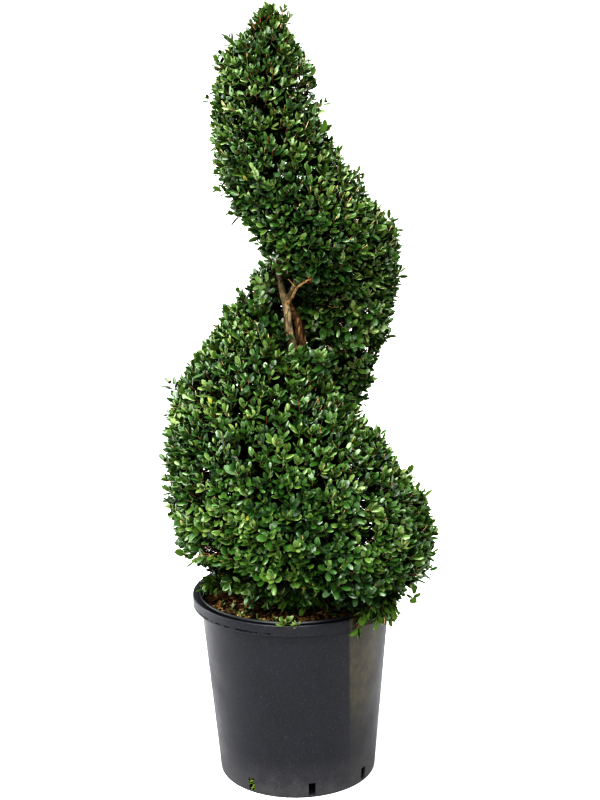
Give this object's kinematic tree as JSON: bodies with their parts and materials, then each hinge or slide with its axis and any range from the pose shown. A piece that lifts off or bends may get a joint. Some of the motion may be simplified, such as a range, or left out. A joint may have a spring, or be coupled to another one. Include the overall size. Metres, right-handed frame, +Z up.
{
  "type": "spiral topiary in a nursery pot",
  "caption": "Box shrub clipped into a tapering spiral round its trunk, rooted in a round black nursery pot with a skirted rim and drain slots.",
  "frame": {"origin": "under the middle of the pot, on its flat underside", "axes": "+Z up the trunk, -Y towards the viewer of the front, +X to that viewer's right"},
  "size_m": [0.4866, 0.4802, 1.407],
  "materials": {
    "pot_plastic": "moulded recycled polypropylene, satin, lightly scuffed",
    "compost": "damp bark and peat compost",
    "bark": "pale tan corky bark",
    "box_leaf": "small glossy dark green leaves"
  },
  "bodies": {
    "root": {"pot": "pot_plastic", "soil": "compost", "trunk": "bark", "rear_stem": "bark", "bough_upper_back": "bark", "bough_upper_left": "bark", "bough_upper_front": "bark", "bough_upper_right": "bark", "bough_middle_back": "bark", "bough_lower_left": "bark", "bough_lower_front": "bark", "bough_lower_right": "bark", "bough_lower_tail": "bark", "foliage_upper_back": "box_leaf", "foliage_upper_left": "box_leaf", "foliage_upper_front": "box_leaf", "foliage_upper_right": "box_leaf", "foliage_middle_back": "box_leaf", "foliage_lower_left": "box_leaf", "foliage_lower_front": "box_leaf", "foliage_lower_right": "box_leaf", "foliage_lower_tail": "box_leaf", "foliage_crown_tip": "box_leaf"}
  },
  "joints": []
}
